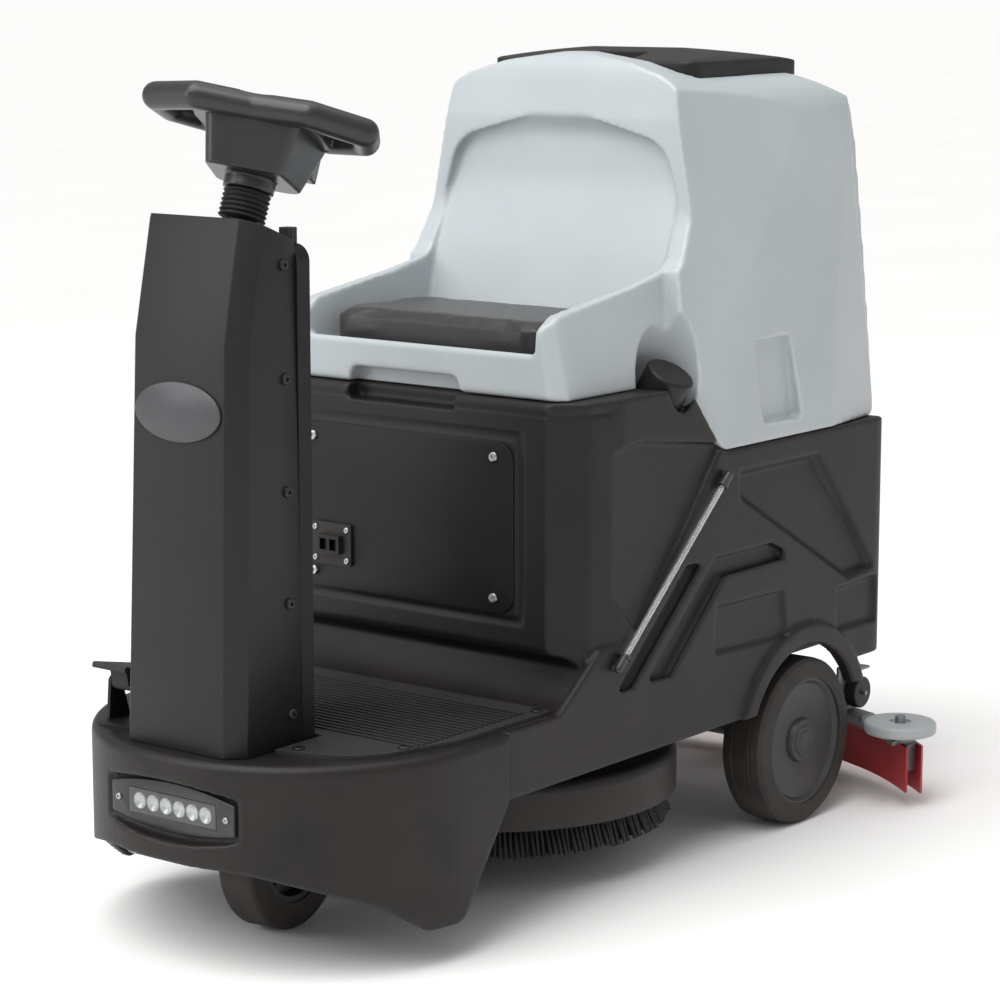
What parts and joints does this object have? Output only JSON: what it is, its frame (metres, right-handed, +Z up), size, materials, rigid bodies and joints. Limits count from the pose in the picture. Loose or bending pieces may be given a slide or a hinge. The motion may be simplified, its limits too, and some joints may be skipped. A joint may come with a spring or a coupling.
{
  "type": "ride-on floor scrubber",
  "caption": "Ride-on floor scrubber-dryer with a steering column, tipping seat tank, disc brush deck and a curved trailing squeegee.",
  "frame": {"origin": "on the floor, under the middle of the machine's length and width", "axes": "+Z up, -Y the front where the nose and steering column are, +X the driver's left"},
  "size_m": [0.792, 1.398, 1.1478],
  "materials": {
    "frame_steel": "black powder coat",
    "black_plastic": "fine grained moulding",
    "head_plastic": "semi-gloss moulding",
    "grey_plastic": "satin rotational moulding",
    "column_paint": "dark grey powder coat",
    "mat_rubber": "ribbed",
    "reflector": "vacuum coated",
    "lens": "clear",
    "badge_plate": "dark blue",
    "black_steel": "blackened",
    "zinc": "zinc plated",
    "stop_red": "gloss",
    "motor_case": "satin",
    "tyre": "worn tread",
    "rim_plastic": "slate grey",
    "clear_plastic": "clear",
    "battery_case": "satin",
    "bristle": "nylon bristle",
    "cast_alloy": "as cast, painted grey",
    "blade_rubber": "smooth polyurethane",
    "roller_plastic": "satin",
    "caster_rubber": "solid",
    "seat_vinyl": "soft vinyl"
  },
  "bodies": {
    "machine": {"chassis": "frame_steel", "front_deck": "black_plastic", "deck_mat": "mat_rubber", "light_bezel": "black_plastic", "light_reflector": "reflector", "light_lens": "lens", "column_frame": "frame_steel", "column_cover": "column_paint", "badge": "badge_plate", "black_screws": "black_steel", "bright_screws": "zinc", "steering_chain": "black_steel", "pedal_base": "frame_steel", "rear_axle": "zinc", "solution_tank": "black_plastic", "level_tube": "clear_plastic", "battery_panel": "column_paint", "charge_socket": "black_plastic", "batteries": "battery_case", "lift_actuator": "motor_case", "tank_hinge": "frame_steel", "filter_bowl": "clear_plastic"},
    "tilt_head": {"tilt_cradle": "frame_steel", "steering_bellows": "mat_rubber"},
    "steering": {"upper_shaft": "frame_steel", "hub_shroud": "head_plastic", "steering_yoke": "head_plastic", "dash_panel": "black_plastic"},
    "lower_shaft": {"lower_shaft": "frame_steel"},
    "fork": {"drive_fork": "frame_steel", "drive_motor": "motor_case"},
    "front_wheel": {"front_tyre": "tyre", "front_rim": "rim_plastic"},
    "left_wheel": {"left_tyre": "tyre", "left_rim": "rim_plastic"},
    "right_wheel": {"right_tyre": "tyre", "right_rim": "rim_plastic"},
    "pedal": {"accelerator_pedal": "mat_rubber"},
    "horn": {"horn_button": "head_plastic"},
    "function": {"function_button": "head_plastic"},
    "stop": {"emergency_stop": "stop_red"},
    "key": {"key_switch": "zinc"},
    "knob": {"tilt_knob": "black_plastic"},
    "cap": {"filler_cap": "black_plastic"},
    "brush_lift": {"brush_deck": "black_plastic", "brush_motor": "motor_case"},
    "brush": {"brush_disc": "rim_plastic", "brush_bristles": "bristle"},
    "squeegee_arm": {"squeegee_arm": "frame_steel"},
    "squeegee": {"squeegee_body": "cast_alloy", "squeegee_blades": "blade_rubber"},
    "left_roller": {"left_roller": "roller_plastic"},
    "right_roller": {"right_roller": "roller_plastic"},
    "left_caster": {"left_caster": "caster_rubber"},
    "right_caster": {"right_caster": "caster_rubber"},
    "seat_tank": {"recovery_tank": "grey_plastic", "seat_cushion": "seat_vinyl", "vacuum_motor": "motor_case"},
    "lid": {"tank_lid": "black_plastic"},
    "drain_cap": {"drain_cap": "black_plastic"}
  },
  "joints": [
    {"name": "column_tilt", "type": "hinge", "parent": "machine", "child": "tilt_head", "pos_m": [0, -0.575, 0.838], "axis": [1, 0, 0], "range_deg": [-6, 6], "deforming": ["steering_bellows"]},
    {"name": "steering_turn", "type": "hinge", "parent": "tilt_head", "child": "steering", "pos_m": [0, -0.575, 0.838], "axis": [0, 0.342, 0.9397], "range_deg": [-168, 112]},
    {"name": "lower_shaft_turn", "type": "hinge", "parent": "machine", "child": "lower_shaft", "pos_m": [0, -0.575, 0.838], "axis": [0, 0, 1], "range_deg": [-168, 112]},
    {"name": "fork_turn", "type": "hinge", "parent": "machine", "child": "fork", "pos_m": [0, -0.475, 0.11], "axis": [0, 0, 1], "range_deg": [-42, 28]},
    {"name": "front_wheel_spin", "type": "hinge", "parent": "fork", "child": "front_wheel", "pos_m": [0, -0.475, 0.11], "axis": [0.9925, 0.1219, 0], "continuous": true},
    {"name": "left_wheel_spin", "type": "hinge", "parent": "machine", "child": "left_wheel", "pos_m": [0.252, 0.37, 0.125], "axis": [1, 0, 0], "continuous": true},
    {"name": "right_wheel_spin", "type": "hinge", "parent": "machine", "child": "right_wheel", "pos_m": [-0.252, 0.37, 0.125], "axis": [1, 0, 0], "continuous": true},
    {"name": "pedal_press", "type": "hinge", "parent": "machine", "child": "pedal", "pos_m": [-0.146, -0.612, 0.334], "axis": [1, 0, 0], "range_deg": [0, 15], "stiffness_Nm_per_rad": 8, "springref_deg": -5.73},
    {"name": "horn_press", "type": "slide", "parent": "steering", "child": "horn", "axis": [0, -0.342, -0.9397], "range_m": [0, 0.003], "stiffness_N_per_m": 900, "springref_m": -0.001},
    {"name": "function_press", "type": "slide", "parent": "steering", "child": "function", "axis": [0, -0.342, -0.9397], "range_m": [0, 0.003], "stiffness_N_per_m": 900, "springref_m": -0.001},
    {"name": "stop_press", "type": "slide", "parent": "steering", "child": "stop", "axis": [0, -0.342, -0.9397], "range_m": [0, 0.003], "stiffness_N_per_m": 900, "springref_m": -0.001},
    {"name": "key_turn", "type": "hinge", "parent": "steering", "child": "key", "pos_m": [0.01998, -0.45368, 1.0567], "axis": [0, 0.342, 0.9397], "range_deg": [-90, 0]},
    {"name": "tilt_knob_turn", "type": "hinge", "parent": "machine", "child": "knob", "pos_m": [0.076, -0.533, 0.918], "axis": [0, 0, 1], "continuous": true},
    {"name": "filler_cap_turn", "type": "hinge", "parent": "machine", "child": "cap", "pos_m": [0.235, 0.05, 0.66986], "axis": [0.5, 0, 0.866], "range_deg": [0, 270]},
    {"name": "brush_lower", "type": "slide", "parent": "machine", "child": "brush_lift", "axis": [0, 0, 1], "range_m": [-0.055, 0]},
    {"name": "brush_spin", "type": "hinge", "parent": "brush_lift", "child": "brush", "pos_m": [0, -0.025, 0.101], "axis": [0, 0, 1], "continuous": true},
    {"name": "squeegee_lower", "type": "hinge", "parent": "machine", "child": "squeegee_arm", "pos_m": [0, 0.47, 0.16], "axis": [1, 0, 0], "range_deg": [-5.5, 0]},
    {"name": "squeegee_swivel", "type": "hinge", "parent": "squeegee_arm", "child": "squeegee", "pos_m": [0, 0.6, 0.098], "axis": [0, 0, 1], "range_deg": [-4, 4]},
    {"name": "left_roller_spin", "type": "hinge", "parent": "squeegee", "child": "left_roller", "pos_m": [0.341, 0.553, 0.119], "axis": [0, 0, 1], "continuous": true},
    {"name": "left_caster_spin", "type": "hinge", "parent": "squeegee", "child": "left_caster", "pos_m": [0.205, 0.655, 0.134], "axis": [1, 0, 0], "continuous": true},
    {"name": "right_roller_spin", "type": "hinge", "parent": "squeegee", "child": "right_roller", "pos_m": [-0.341, 0.553, 0.119], "axis": [0, 0, 1], "continuous": true},
    {"name": "right_caster_spin", "type": "hinge", "parent": "squeegee", "child": "right_caster", "pos_m": [-0.205, 0.655, 0.134], "axis": [1, 0, 0], "continuous": true},
    {"name": "tank_tip", "type": "hinge", "parent": "machine", "child": "seat_tank", "pos_m": [0, 0.618, 0.586], "axis": [1, 0, 0], "range_deg": [-68, 0]},
    {"name": "lid_open", "type": "hinge", "parent": "seat_tank", "child": "lid", "pos_m": [0, 0.508, 1.098], "axis": [1, 0, 0], "range_deg": [-80, 0]},
    {"name": "drain_cap_turn", "type": "hinge", "parent": "machine", "child": "drain_cap", "pos_m": [0.2, 0.614, 0.372], "axis": [0, 1, 0], "range_deg": [0, 270]}
  ],
  "couplings": [
    {"joint": "lower_shaft_turn", "follows": "steering_turn", "ratio": 1},
    {"joint": "fork_turn", "follows": "steering_turn", "ratio": 0.25}
  ]
}
